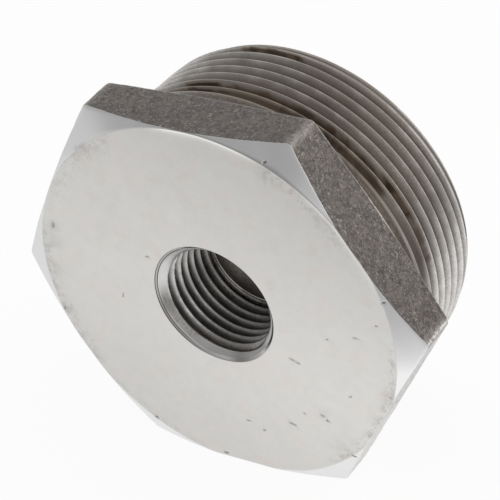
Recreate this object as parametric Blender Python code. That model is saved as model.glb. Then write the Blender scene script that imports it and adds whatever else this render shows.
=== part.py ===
"""Hex reducing bushing: hexagon head, 2 inch male taper pipe thread, 1/2 inch female taper pipe thread.

The axis runs along Y. The hexagon's face looks along -Y, the male thread points along +Y, two wrench flats
face +Z and -Z, and the origin is on the axis, halfway between the face and the thread's end.
"""

import math

import bmesh
import bpy
from mathutils import Vector

MM = 0.001
INCH = 25.4

# Hexagon head, in millimetres and degrees
HEX_SIDES = 6
ACROSS_FLATS = 63.0
HEAD_HEIGHT = 9.4
FACE_OVERSIZE = 0.7
FACE_CHAMFER_DEG = 25.0
BACK_CHAMFER_DEG = 7.0

# Male thread, 2 inch taper pipe, its pitch diameter taken at the small end
OVERALL_LENGTH = 29.8
MALE_PER_INCH = 11.5
MALE_PITCH_DIAMETER = 57.633
LAND_LENGTH = 1.7
LAND_UNDERSIZE = 0.8
LAND_SLOPE_DEG = 28.0
RUN_OUT_TURNS = 1.5
LEAD_CHAMFER_LENGTH = 2.9
LEAD_CHAMFER_DROP = 1.1
MALE_START_DEG = -8.0

# Female thread, 1/2 inch taper pipe, its pitch diameter taken at the face
FEMALE_PER_INCH = 14.0
FEMALE_PITCH_DIAMETER = 19.772
FEMALE_THREAD_LENGTH = 13.6
COUNTERSINK_OVERSIZE = 0.2
COUNTERSINK_DEG = 45.0
FEMALE_START_DEG = 248.0

# Wider recess that ends the female thread and runs out through the back
RECESS_DIAMETER = 25.4
RECESS_EDGE_BREAK = 0.5

# Both threads follow the same form
TAPER_ON_RADIUS = 1.0 / 32.0
THREAD_HEIGHT_SHARE = 0.8
CREST_FLAT_SHARE = 0.04
FLANK_SHARE = 0.46

# Fineness of the round shapes
BARREL_SEGMENTS = 96
MALE_SEGMENTS = 64
FEMALE_SEGMENTS = 44

# How far helper solids run past what they join or cut, and how close points merge
OVERLAP = 3.0
SPARE_TURNS = 2
MERGE_DISTANCE = 1e-8

STEEL_COLOUR = (0.52, 0.51, 0.49, 1.0)
STEEL_ROUGHNESS = 0.42
SHARP_EDGE_DEG = 25.0

FACE_Y = -OVERALL_LENGTH / 2
END_Y = OVERALL_LENGTH / 2
SHOULDER_Y = FACE_Y + HEAD_HEIGHT
FACE_RADIUS = (ACROSS_FLATS + FACE_OVERSIZE) / 2
MALE_PITCH = INCH / MALE_PER_INCH
MALE_HEIGHT = THREAD_HEIGHT_SHARE * MALE_PITCH
LAND_RADIUS = (ACROSS_FLATS - LAND_UNDERSIZE) / 2
LAND_END_Y = SHOULDER_Y + LAND_LENGTH
RUN_OUT_LENGTH = RUN_OUT_TURNS * MALE_PITCH
FEMALE_PITCH = INCH / FEMALE_PER_INCH
FEMALE_HEIGHT = THREAD_HEIGHT_SHARE * FEMALE_PITCH
MOUTH_RADIUS = (FEMALE_PITCH_DIAMETER + FEMALE_HEIGHT + COUNTERSINK_OVERSIZE) / 2
RECESS_Y = FACE_Y + FEMALE_THREAD_LENGTH


def ridge(turns):
    """Height of the thread form, from 0 in the root to 1 on the crest, at a place counted in pitches."""
    place = turns % 1.0
    from_crest = min(place, 1.0 - place)
    rise = (CREST_FLAT_SHARE / 2 + FLANK_SHARE - from_crest) / FLANK_SHARE
    return min(1.0, max(0.0, rise))


def ridge_corners():
    """The places within one pitch where the thread form changes slope."""
    crest_edge = CREST_FLAT_SHARE / 2
    root_edge = crest_edge + FLANK_SHARE
    return (crest_edge, root_edge, 1.0 - root_edge, 1.0 - crest_edge)


def male_radius(y, turns):
    """Radius of the land and male thread at a height on the axis and a place along its helix."""
    from_end = END_Y - y
    cone = (MALE_PITCH_DIAMETER + MALE_HEIGHT) / 2 + from_end * TAPER_ON_RADIUS
    land = LAND_RADIUS - max(0.0, y - LAND_END_Y) * math.tan(math.radians(LAND_SLOPE_DEG))
    crest = max(cone, land)
    run_out = max(0.0, LAND_END_Y + RUN_OUT_LENGTH - y) / RUN_OUT_LENGTH
    depth = MALE_HEIGHT * (1.0 - ridge(turns)) * max(0.0, 1.0 - run_out)
    lead_share = max(0.0, 1.0 - from_end / LEAD_CHAMFER_LENGTH)
    return min(crest - depth, crest - lead_share * LEAD_CHAMFER_DROP)


def female_radius(y, turns):
    """Radius of the tapped bore at a height on the axis and a place along its helix."""
    depth_in = y - FACE_Y
    minor = (FEMALE_PITCH_DIAMETER - FEMALE_HEIGHT) / 2 - depth_in * TAPER_ON_RADIUS
    countersink = MOUTH_RADIUS - depth_in * math.tan(math.radians(COUNTERSINK_DEG))
    return max(minor + FEMALE_HEIGHT * ridge(turns), countersink)


def helper(obj):
    """Keeps a shape that only cuts or joins another out of the finished object."""
    obj.hide_render = True
    obj.display_type = "WIRE"
    return obj


def mesh_object(name, points, faces):
    """A closed mesh from points in millimetres, with repeated points merged and its faces turned outwards."""
    shape = bmesh.new()
    corners = [shape.verts.new(Vector(point) * MM) for point in points]
    for face in faces:
        distinct = list(dict.fromkeys(face))
        if len(distinct) > 2:
            shape.faces.new([corners[index] for index in distinct])
    bmesh.ops.remove_doubles(shape, verts=shape.verts, dist=MERGE_DISTANCE)
    bmesh.ops.dissolve_degenerate(shape, edges=shape.edges, dist=MERGE_DISTANCE)
    bmesh.ops.recalc_face_normals(shape, faces=shape.faces)
    mesh = bpy.data.meshes.new(name)
    shape.to_mesh(mesh)
    shape.free()
    obj = bpy.data.objects.new(name, mesh)
    bpy.context.scene.collection.objects.link(obj)
    return obj


def on_axis_circle(radius, y, angle):
    return (radius * math.cos(angle), y, radius * math.sin(angle))


def prism(name, sides, across_flats, front_y, back_y):
    """A regular prism along Y with flats facing +Z and -Z."""
    corner_radius = across_flats / 2 / math.cos(math.pi / sides)
    angles = [2 * math.pi * index / sides for index in range(sides)]
    points = [on_axis_circle(corner_radius, y, angle) for y in (front_y, back_y) for angle in angles]
    walls = [
        (index, (index + 1) % sides, (index + 1) % sides + sides, index + sides) for index in range(sides)
    ]
    caps = [tuple(range(sides)), tuple(range(sides, 2 * sides))]
    return mesh_object(name, points, walls + caps)


def turned(name, profile, segments):
    """A solid of revolution about Y from (radius, y) pairs, listed from its front cap to its back cap."""
    half_step = math.pi / segments
    angles = [2 * math.pi * index / segments + half_step for index in range(segments)]
    points = [on_axis_circle(radius, y, angle) for radius, y in profile for angle in angles]
    walls = []
    for ring in range(len(profile) - 1):
        for index in range(segments):
            after = (index + 1) % segments
            near = ring * segments
            far = near + segments
            walls.append((near + index, near + after, far + after, far + index))
    last = (len(profile) - 1) * segments
    caps = [tuple(range(segments)), tuple(range(last, last + segments))]
    return mesh_object(name, points, walls + caps)


def threaded(name, radius_at, pitch, start_deg, front_y, back_y, segments):
    """A solid along Y whose rows of points follow a right-hand helix, cut square at both ends.

    Going round by one turn moves each row by one pitch, so the last column joins the first one row group on.
    Rows past an end gather on its rim, where they merge.
    """
    corners = ridge_corners()
    first_turn = math.floor(front_y / pitch) - SPARE_TURNS
    last_turn = math.ceil(back_y / pitch) + SPARE_TURNS
    places = [turn + corner for turn in range(first_turn, last_turn) for corner in corners]
    rows = len(places)
    points = []
    for column in range(segments):
        angle = math.radians(start_deg) - 2 * math.pi * column / segments
        for place in places:
            y = min(back_y, max(front_y, (place + column / segments) * pitch))
            turns = y / pitch - column / segments
            points.append(on_axis_circle(radius_at(y, turns), y, angle))

    def point_index(column, row):
        if column == segments:
            return min(rows - 1, row + len(corners))
        return column * rows + row

    walls = []
    for column in range(segments):
        for row in range(rows - 1):
            near = (point_index(column, row), point_index(column, row + 1))
            far = (point_index(column + 1, row + 1), point_index(column + 1, row))
            walls.append(near + far)
    front_cap = tuple(column * rows for column in range(segments))
    back_cap = tuple(column * rows + rows - 1 for column in range(segments))
    return mesh_object(name, points, walls + [front_cap, back_cap])


def boolean(target, operation, other):
    modifier = target.modifiers.new(other.name, "BOOLEAN")
    modifier.operation = operation
    modifier.solver = "EXACT"
    modifier.object = other
    return target


def hexagon_head():
    """The hexagon, with both ends of its corners turned off by shallow cones."""
    head = prism("bushing_body", HEX_SIDES, ACROSS_FLATS, FACE_Y, SHOULDER_Y)
    narrowest = FACE_RADIUS / 2
    widest = ACROSS_FLATS / 2 / math.cos(math.pi / HEX_SIDES) + OVERLAP
    front_slope = math.tan(math.radians(FACE_CHAMFER_DEG))
    back_slope = math.tan(math.radians(BACK_CHAMFER_DEG))
    profile = [
        (narrowest, FACE_Y + (narrowest - FACE_RADIUS) * front_slope),
        (widest, FACE_Y + (widest - FACE_RADIUS) * front_slope),
        (widest, SHOULDER_Y - (widest - FACE_RADIUS) * back_slope),
        (narrowest, SHOULDER_Y - (narrowest - FACE_RADIUS) * back_slope),
    ]
    barrel = helper(turned("chamfer_barrel", profile, BARREL_SEGMENTS))
    return boolean(head, "INTERSECT", barrel)


def male_shank():
    front_y = SHOULDER_Y - OVERLAP
    return threaded("male_shank", male_radius, MALE_PITCH, MALE_START_DEG, front_y, END_Y, MALE_SEGMENTS)


def tapped_bore():
    front_y = FACE_Y - OVERLAP
    back_y = RECESS_Y + OVERLAP
    return threaded("tapped_bore", female_radius, FEMALE_PITCH, FEMALE_START_DEG, front_y, back_y, FEMALE_SEGMENTS)


def rear_recess():
    """The wider bore behind the female thread, with a broken edge at the back."""
    radius = RECESS_DIAMETER / 2
    profile = [
        (radius, RECESS_Y),
        (radius, END_Y - RECESS_EDGE_BREAK),
        (radius + RECESS_EDGE_BREAK + OVERLAP, END_Y + OVERLAP),
    ]
    return turned("rear_recess", profile, BARREL_SEGMENTS)


def steel():
    material = bpy.data.materials.new("forged_steel")
    material.use_nodes = True
    shader = material.node_tree.nodes["Principled BSDF"]
    shader.inputs["Base Color"].default_value = STEEL_COLOUR
    shader.inputs["Metallic"].default_value = 1.0
    shader.inputs["Roughness"].default_value = STEEL_ROUGHNESS
    return material


def main():
    for obj in list(bpy.data.objects):
        bpy.data.objects.remove(obj, do_unlink=True)
    body = hexagon_head()
    boolean(body, "UNION", helper(male_shank()))
    boolean(body, "DIFFERENCE", helper(tapped_bore()))
    boolean(body, "DIFFERENCE", helper(rear_recess()))
    body.data.materials.append(steel())
    body.data.shade_smooth()
    body.data.set_sharp_from_angle(angle=math.radians(SHARP_EDGE_DEG))


main()
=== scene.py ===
"""Looks of the hex reducing bushing: one forged and turned steel piece with a male and a female pipe thread.

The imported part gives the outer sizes. The mesh built here replaces it: rounded edges, forged flats, cut
threads and the nicks of a part that has been handled. Lengths are in millimetres until the mesh is made.
Angles go around the axis of the threads from +X towards +Z. A window is four of them, in degrees: where it
begins, where it is full, where it starts to end and where it has ended.
"""

import math

import bmesh
import bpy
import numpy as np
from mathutils import Matrix, Vector, noise


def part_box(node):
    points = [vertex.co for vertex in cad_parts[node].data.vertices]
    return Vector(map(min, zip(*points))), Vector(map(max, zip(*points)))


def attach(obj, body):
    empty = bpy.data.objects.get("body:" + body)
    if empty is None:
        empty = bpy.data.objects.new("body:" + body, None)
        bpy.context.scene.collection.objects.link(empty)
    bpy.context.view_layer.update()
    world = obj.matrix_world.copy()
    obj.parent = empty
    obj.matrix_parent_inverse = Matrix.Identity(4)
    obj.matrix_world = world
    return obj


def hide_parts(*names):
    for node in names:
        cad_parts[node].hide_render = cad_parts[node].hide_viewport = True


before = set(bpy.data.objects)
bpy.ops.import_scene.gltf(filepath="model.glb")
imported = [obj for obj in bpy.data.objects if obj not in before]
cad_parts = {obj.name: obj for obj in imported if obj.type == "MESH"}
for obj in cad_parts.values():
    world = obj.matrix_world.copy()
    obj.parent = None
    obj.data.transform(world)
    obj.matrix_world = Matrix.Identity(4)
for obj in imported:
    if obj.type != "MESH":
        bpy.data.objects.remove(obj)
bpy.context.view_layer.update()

MM = 0.001
INCH = 25.4
NODE = "bushing_body"

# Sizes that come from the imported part
part_low, part_high = (Vector(corner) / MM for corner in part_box(NODE))
ACROSS_FLATS = part_high.z - part_low.z
FACE_Y = part_low.y
END_Y = part_high.y

# Hexagon head, with a face cone that leans a little and a rim that sits off the middle
HEX_SIDES = 6
HALF_FLAT = math.pi / HEX_SIDES
FLAT_DEG = 360.0 / HEX_SIDES
FLAT_TURN_DEG = (0.0, 0.0, 0.0, 0.0, 0.0, -0.6)
LEAST_LEAN = 0.4
HEAD_HEIGHT = 9.4
SHOULDER_Y = FACE_Y + HEAD_HEIGHT
FACE_RADIUS = ACROSS_FLATS / 2 + 0.35
FACE_CONE_DEG = 24.2
FACE_CONE_LEAN_DEG = 1.9
FACE_CONE_TOWARDS_DEG = -45.0
LEAST_CHAMFER = 0.05
RIM_UNDERSIZE = 0.15
RIM_SHIFT = (0.25, -0.25)
BACK_SLOPE = math.tan(math.radians(7.0))

# Rounding of the head's edges, softer along part of the rim
CORNER_REACH = 0.5
RIM_ROUNDING = 0.10
SOFT_RIM = 0.7
SOFT_WINDOW = (128.0, 150.0, 290.0, 315.0)
EDGE_ROUNDING = 0.06
BACK_ROUNDING = 0.7
SHOULDER_ROUNDING = 0.3
ROUNDING_SHARE = 0.45

# Roughness of the forging: height and size of its bumps
FORGING = ((0.06, 7.0), (0.035, 2.2), (0.03, 0.8))

# Male thread, 2 inch taper pipe, which runs out towards the head and has a lead chamfer at its end
MALE_PITCH = INCH / 11.5
MALE_PITCH_DIAMETER = 57.633
MALE_START_DEG = 8.0
RUN_OUT = 1.5 * MALE_PITCH
LEAD_LENGTH = 2.9
LEAD_DROP = 1.1
LEAD_ROUNDING = 0.12

# Uncut land in front of the male thread: it swells towards the head, and its dull skin ends in a line painted
# pale as a highlight
LAND_LENGTH = 1.5
LAND_SWELL = 0.75
LAND_FALL = (2.0, 3.4)
LAND_START = 0.5
LAND_RING = 0.8
LAND_SKIN = 2.0
SKIN_EDGE = 0.1
LAND_LINE = 0.12
LAND_HIGHLIGHT = 0.5
LAND_DULL = 0.66

# Female thread, 1/2 inch taper pipe, a little off the middle, with its depths counted from the face
FEMALE_PITCH = INCH / 14.0
FEMALE_PITCH_DIAMETER = 19.772
FEMALE_START_DEG = 212.0
FEMALE_LENGTH = 13.6
FEMALE_RUN_IN = (1.1, 1.7)
FEMALE_RUN_OUT = (12.75, 13.3)
COUNTERSINK_END = (1.2, 1.6)
COUNTERSINK_ROUNDING = 0.06
GROOVE_START = (-0.02, 0.2)
BORE_SHIFT = (0.19, -0.20)
SHIFT_FADE = (12.0, 20.0)

# Wider recess behind the female thread
RECESS_Y = FACE_Y + FEMALE_LENGTH
RECESS_RADIUS = 12.7
RECESS_FILLET = 0.2
RECESS_BREAK = 0.5
BREAK_ROUNDING = 0.1
EDGE_LIP = (0.1, 0.02)

# Both threads share one form
TAPER = 1.0 / 32.0
HEIGHT_SHARE = 0.8
CREST_SHARE = 0.08
FLANK_SHARE = 0.44
CREST_ROUNDING = 0.14
ROOT_ROUNDING = 0.12
MALE_HEIGHT = HEIGHT_SHARE * MALE_PITCH
FEMALE_HEIGHT = HEIGHT_SHARE * FEMALE_PITCH

# Mouth of the bore, from the countersink out to the face: radius, depth where it has a ledge, and how dark it
# is painted
MOUTH_RADIUS = (FEMALE_PITCH_DIAMETER + FEMALE_HEIGHT) / 2 + 0.1
STEP_RADIUS = 10.62
MOUTH = (
    (10.257, 0.455, 0.0),
    (10.315, 0.397, 0.0),
    (10.335, 0.37, 0.7),
    (10.365, 0.245, 1.0),
    (10.42, 0.205, 0.6),
    (STEP_RADIUS, 0.14, 0.45),
    (10.67, 0.115, 1.0),
    (10.70, 0.03, 1.0),
    (10.75, 0.0, 0.25),
)

# Where the mouth has its ledge, and the share of its dark paint that the step around it keeps elsewhere
LEDGE_WINDOW = (85.0, 125.0, 225.0, 262.0)
STEP_DARK = 0.45

# Material slots of the mesh
FACED, TURNED, FORGED, THREAD, BORE, END = range(6)

# Columns of points around the axis, and rows of points within one pitch, from the ridge of the thread form
COLUMNS_PER_FLAT = 96
CORNER_CROWDING = 0.6
PITCH_ROWS = (0.0, 0.025, 0.06, 0.18, 0.32, 0.44, 0.5, 0.56, 0.68, 0.82, 0.94, 0.975)
ROW_SNAP = 0.04

# Rings of points on the face, on the end of the thread and in the recess
COARSE_FACE_RINGS = (10.85, 11.5, 12.5, 13.6, 14.8)
MIDDLE_FACE_RINGS = np.linspace(15.9, FACE_RADIUS - 2.0, 13)
FINE_FACE_RING = FACE_RADIUS - 1.4
RIM_START = FACE_RADIUS - 0.9
END_INSET = 0.3
MIDDLE_END_RING = 17.0
MIDDLE_END_COUNT = 5
COARSE_END_RING = 15.0
RECESS_FLOOR_RINGS = (11.2, 12.0, RECESS_RADIUS - RECESS_FILLET)
RECESS_WALL_COUNT = 9

# Rows in the stretches of the head's profile, straight and round by turns from the face to the land
STRAIGHT_ROWS = (8, 6, 19, 4, 2)
ROUND_ROWS = (3, 3, 6, 4)

# Materials of those stretches, the one that is the wrench flat, and the one where the land begins
HEAD_SLOTS = (FACED, FACED, TURNED, TURNED, FORGED, FORGED, FORGED, FORGED, FORGED)
FLAT_STRETCH = 4
LAND_STRETCH = 7

# Painted highlights and darker parts of the bore, with painted shade deeper in: strength and window of
# angles, and depths from the face
HIGHLIGHT_CONE = ((1.0, (60.0, 90.0, 155.0, 190.0)), (1.6, (-45.0, -28.0, 10.0, 25.0)))
HIGHLIGHT_MOST = max(strength for strength, _ in HIGHLIGHT_CONE)
DARK_MOUTH = ((0.4, (165.0, 195.0, 240.0, 270.0)), (0.6, (270.0, 286.0, 305.0, 325.0)))
DARK_CONE = ((0.65, (165.0, 195.0, 230.0, 255.0)), (0.5, (270.0, 286.0, 305.0, 325.0)))
DARK_THREAD = ((0.62, (185.0, 212.0, 330.0, 350.0)),)
DIM_DEPTHS = (1.0, 15.0)
BRIGHT_WINDOW = (95.0, 120.0, 175.0, 205.0)
# Where the shade painted deeper in is left out
LIT_THREAD = ((0.5, BRIGHT_WINDOW),)
# Painted highlight along the edge of the recess
BRIGHT_EDGE = ((0.5, BRIGHT_WINDOW),)

# Painted highlights on the first crests in the bore: their reach down the flanks, where they fade, and noise
# that breaks them up
BRIGHT_CRESTS = ((1.3, (75.0, 95.0, 200.0, 260.0)),)
CREST_FLANK = (0.0, 0.3)
CREST_FADE = (2.5, 10.0)
CREST_GRAIN = 0.7
CREST_BREAKS = (0.65, 1.2, 0.1, 1.3)

# Painted shade on the floor of the recess and on its wall, where it thins out between two distances from the
# floor
RECESS_FLOOR_SHADE = 1.3
RECESS_SHADE = 2.0
SHADE_FADE = (4.0, 11.0)

# Wear on the forging along the six corners and the back edge, a shine along part of the back edge that is
# partly a painted highlight, and a reflection painted pale on the lower right flat
CORNER_WEAR_WIDTH = 0.9
BRIGHT_CORNER = ((1.5, (-16.0, -6.0, 4.0, 12.0)),)
BRIGHT_CORNER_WIDTH = 0.35
BACK_WEAR_WIDTH = 0.35
PLAIN_BACK = (62.0, 68.0, 112.0, 118.0)
BACK_SHINE = ((1.7, (20.0, 30.0, 57.0, 62.0)),)
SHINE_INSET = 0.2
SHINE_WIDTH = 0.16
FLAT_REFLECTION = ((1.9, (-62.0, -57.0, -4.0, 0.0)), (0.6, (-62.0, -58.0, -36.0, -26.0)))

# Burr that facing left along part of the rim, part of it rolled over, with shade painted dark under its lip
BURR_WINDOW = (26.0, 36.0, 90.0, 98.0)
BURR_HEIGHT = 0.03
BURR_WIDTH = 0.1
ROLL_WINDOW = (62.0, 74.0, 90.0, 100.0)
ROLL_HEIGHT = 0.08
ROLL_WIDTH = 0.4
LIP_FALL = 0.16
LIP_SHADE = 0.55

# Parts of the rim painted pale as a highlight, and the lower chamfers, which are painted paler than the rest
RIM_HIGHLIGHT = ((0.85, (62.0, 76.0, 92.0, 102.0)), (0.6, (14.0, 22.0, 44.0, 56.0)))
RIM_HIGHLIGHT_WIDTH = 0.45
PALER_CHAMFER = (-145.0, -125.0, -10.0, -1.0)

# Tarnish on the male thread, heavier over the top and near the shoulder, where it partly paints shade, and in
# patches
TARNISH_LEAST = 0.10
TARNISH_AND_SHADE = ((0.30, (-6.0, 28.0, 95.0, 140.0)), (0.06, (28.0, 48.0, 70.0, 88.0)))
NEAR_TARNISH_AND_SHADE = ((0.28, (-40.0, -20.0, 150.0, 190.0)),)
NEAR_FADE = (3.0, 9.0)
TARNISH_MOST = 0.46
TARNISH_PATCHES = 0.10

# Oil on the male thread, with a ragged end some way behind the shoulder; next to the shoulder it partly
# paints shadow
OIL_LEAST = 0.81
OIL_WINDOW = (22.0, 40.0, 101.0, 112.0)
OIL_THICK = ((0.08, (34.0, 44.0, 66.0, 80.0)),)
OIL_FLECKS = 0.12
OIL_MOST = 0.91
OIL_END = (6.5, 7.6)

# Noise in the tarnish and oil: sizes of its patches and flecks, and their shares in the oil's end and spots
PATCH_SIZE = 2.0
FLECK_SIZE = 0.9
END_RAGGED = (0.6, 0.4)
SPOT_RAGGED = (0.7, 0.8)

# Spots of oil, those next to the shoulder partly painting shadow: angle, distance behind the shoulder, half
# turn, half length, strength and how ragged
OIL_SPOTS = (
    (100.0, 4.45, 15.0, 0.45, 0.95, 0.4),
    (100.5, 6.6, 8.5, 0.42, 0.95, 0.5),
    (95.0, 2.6, 6.0, 0.8, 0.9, 1.0),
    (38.0, 4.9, 5.0, 0.5, 0.92, 1.3),
    (34.5, 7.0, 6.0, 0.5, 0.95, 1.3),
    (29.0, 7.0, 5.0, 0.42, 0.88, 1.3),
    (23.8, 7.05, 3.0, 0.45, 0.93, 1.0),
    (14.0, 7.08, 17.0, 0.26, 0.70, 1.0),
    (89.0, 17.7, 12.0, 0.55, 0.93, 1.0),
    (66.0, 10.2, 5.0, 0.5, 0.7, 1.0),
    (74.0, 12.6, 4.0, 0.5, 0.7, 1.0),
)
SPOT_EDGE = (0.3, 1.6)

# Rust on the wrench flats: angle, distance behind the face, radius and strength
FLAT_SPOTS = ((5.2, 5.1, 0.7, 0.86), (4.2, 5.6, 0.5, 0.84), (7.6, 4.2, 0.45, 0.7))

# Smudges on the face: x, z, radius and strength
SMUDGES = (
    (-29.4, 5.6, 2.2, 0.22),
    (-28.3, 8.4, 0.9, 0.5),
    (-31.0, -0.4, 2.0, 0.2),
    (-29.9, -8.3, 1.2, 0.4),
    (-27.6, -15.7, 1.3, 0.22),
    (-25.6, -17.2, 1.2, 0.2),
    (-19.0, 25.0, 1.6, 0.3),
    (14.4, 26.5, 1.3, 0.25),
    (23.3, 20.5, 1.5, 0.2),
    (20.0, -22.4, 2.2, 0.14),
    (29.8, -10.5, 1.4, 0.3),
    (27.3, -15.1, 1.2, 0.25),
    (16.8, -17.1, 1.3, 0.2),
)

# Noise that breaks up the smudges, and how far behind the face they reach
SMUDGE_GRAIN = 0.9
SMUDGE_BREAKS = (0.6, 0.8, 0.1, 1.2)
SMUDGE_DEPTH = 0.2

# Stained parts of the rim: window of angles, radius where the stain is strongest, half-width and strength
RIM_STAINS = (
    ((26.0, 36.0, 58.0, 70.0), 30.8, 1.4, 0.4),
    ((-60.0, -52.0, -10.0, 6.0), 31.4, 0.8, 0.55),
    ((160.0, 172.0, 206.0, 222.0), 31.3, 1.8, 0.45),
    ((206.0, 222.0, 246.0, 262.0), 31.5, 0.9, 0.25),
    ((112.0, 118.0, 140.0, 165.0), 30.6, 2.2, 0.3),
)

# Scratches, pits and nicks on the face and its chamfers: x, z, length, width, turn in degrees and depth
MARKS = (
    (13.5, -7.5, 2.0, 0.36, -20.0, 0.07),
    (11.0, -20.7, 1.5, 0.30, -14.0, 0.12),
    (2.5, -22.5, 0.9, 0.20, 0.0, 0.06),
    (-17.3, -2.6, 1.0, 0.25, 75.0, 0.05),
    (22.7, -11.9, 0.8, 0.22, 35.0, 0.03),
    (5.2, -23.7, 0.45, 0.36, 0.0, 0.10),
    (16.9, -17.3, 0.9, 0.45, -20.0, 0.08),
    (17.6, -18.0, 0.5, 0.26, 40.0, 0.06),
    (13.6, -17.8, 0.5, 0.30, 0.0, 0.06),
    (25.1, 0.0, 0.36, 0.32, 60.0, 0.08),
    (20.2, -1.6, 0.5, 0.26, 30.0, 0.04),
    (31.1, 7.9, 0.6, 0.50, 40.0, 0.12),
    (29.3, 3.3, 0.5, 0.26, 0.0, 0.06),
    (-10.7, 6.4, 0.8, 0.30, 10.0, 0.03),
    (-28.3, 8.4, 1.1, 0.45, 70.0, 0.10),
    (-30.3, -8.5, 0.9, 0.40, 60.0, 0.10),
    (-16.4, -27.5, 1.0, 0.80, 20.0, 0.30),
    (-3.3, -30.9, 0.9, 0.35, 0.0, 0.10),
    (14.5, 28.7, 0.7, 0.36, 30.0, 0.12),
    (21.4, -24.2, 0.9, 0.36, -35.0, 0.10),
)

# Space around a mark, how far behind the face marks lie, cuts that refine the mesh there, and their dirt
MARK_REACH = 0.35
MARK_ZONE = 2.5
MARK_CUTS = 4
MARK_DIRT = 0.9

# Spacing of the tool marks on the end of the thread, and that of a wave pattern at scale 1
TOOL_FEED = 0.8
WAVE_SPACING = math.tau / 20


def smooth_min(a, b, reach):
    blend = np.maximum(reach - np.abs(a - b), 0.0) / reach
    return np.minimum(a, b) - blend * blend * reach / 4


def smooth_max(a, b, reach):
    return -smooth_min(-a, -b, reach)


def smooth_step(value, start, end):
    share = np.clip((value - start) / (end - start), 0.0, 1.0)
    return share * share * (3.0 - 2.0 * share)


def bell(distance, width):
    return np.exp(-((distance / width) ** 2))


def window(degrees, span):
    """1 between the two middle angles of a window and 0 outside it, with soft ends, going up in angle."""
    wrapped = (degrees - span[0]) % 360.0 + span[0]
    return smooth_step(wrapped, span[0], span[1]) * (1.0 - smooth_step(wrapped, span[2], span[3]))


def windows(degrees, parts):
    """Sum of several windows, each with its own strength."""
    return sum(strength * window(degrees, span) for strength, span in parts)


def speckle(x, y, z, size):
    """Smooth noise from -1 to 1 at each point, with patches of about the given size."""
    places = np.stack(np.broadcast_arrays(x, y, z), axis=-1)
    values = [noise.noise(Vector(place) / size) for place in places.reshape(-1, 3)]
    return np.array(values).reshape(places.shape[:-1])


def round_speckle(radius, y, angles, size):
    """The same noise at points given by their radius, height on the axis and angle."""
    return speckle(radius * np.cos(angles), y, radius * np.sin(angles), size)


def broken(grain, middle, swing, least, most):
    """How much is left of a patch that noise breaks up, held between the least and the most."""
    return np.clip(middle + swing * grain, least, most)


def forged(radius, y, angles):
    """How far the rough forging stands out from its true surface at each point."""
    return sum(height * round_speckle(radius, y, angles, size) for height, size in FORGING)


def column_angles():
    """Angles around the axis, evenly spread along the flats and crowded at the six corners."""
    share = np.arange(COLUMNS_PER_FLAT) / COLUMNS_PER_FLAT
    eased = share - CORNER_CROWDING * np.sin(2 * np.pi * share) / (2 * np.pi)
    within = np.arctan((2 * eased - 1) * math.tan(HALF_FLAT)) + HALF_FLAT
    return np.concatenate([within + 2 * HALF_FLAT * side for side in range(HEX_SIDES)])


def hexagon_radius(angles):
    """Distance from the axis to the hexagon's side walls, its corners rounded."""
    normals = HALF_FLAT + 2 * HALF_FLAT * np.arange(HEX_SIDES) + np.radians(FLAT_TURN_DEG)
    lean = np.cos(angles[:, None] - normals[None, :])
    nearest = np.sort(ACROSS_FLATS / 2 / np.maximum(lean, LEAST_LEAN), axis=1)
    return smooth_min(nearest[:, 0], nearest[:, 1], CORNER_REACH)


def face_cone_deg(angles):
    """Slope of the turned cone behind the face, which leans a little because the head sat askew."""
    return FACE_CONE_DEG + FACE_CONE_LEAN_DEG * np.cos(angles - math.radians(FACE_CONE_TOWARDS_DEG))


def ridge(place):
    """Height of the thread form, from 0 in the root to 1 on the crest, at a place counted in pitches."""
    share = place % 1.0
    from_crest = np.minimum(share, 1.0 - share)
    rise = (CREST_SHARE / 2 + FLANK_SHARE - from_crest) / FLANK_SHARE
    return smooth_max(smooth_min(rise, 1.0, CREST_ROUNDING), 0.0, ROOT_ROUNDING)


def helix_turns(start_deg, angles):
    """Turns that a right-hand helix has made at each angle since it started."""
    return (math.radians(start_deg) - angles) / (2 * math.pi)


def male_radius(y, place):
    """Radius of the male thread, and how deep in a groove each point lies, from 0 to 1."""
    from_end = END_Y - y
    swell = LAND_SWELL * (1.0 - smooth_step(y - SHOULDER_Y, *LAND_FALL))
    crest = (MALE_PITCH_DIAMETER + MALE_HEIGHT) / 2 + from_end * TAPER + swell
    run_out = np.clip((SHOULDER_Y + LAND_LENGTH + RUN_OUT - y) / RUN_OUT, 0.0, 1.0)
    groove = (1.0 - ridge(place)) * (1.0 - run_out)
    lead = np.maximum(0.0, 1.0 - from_end / LEAD_LENGTH) * LEAD_DROP
    return smooth_min(crest - MALE_HEIGHT * groove, crest - lead, LEAD_ROUNDING), groove


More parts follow.
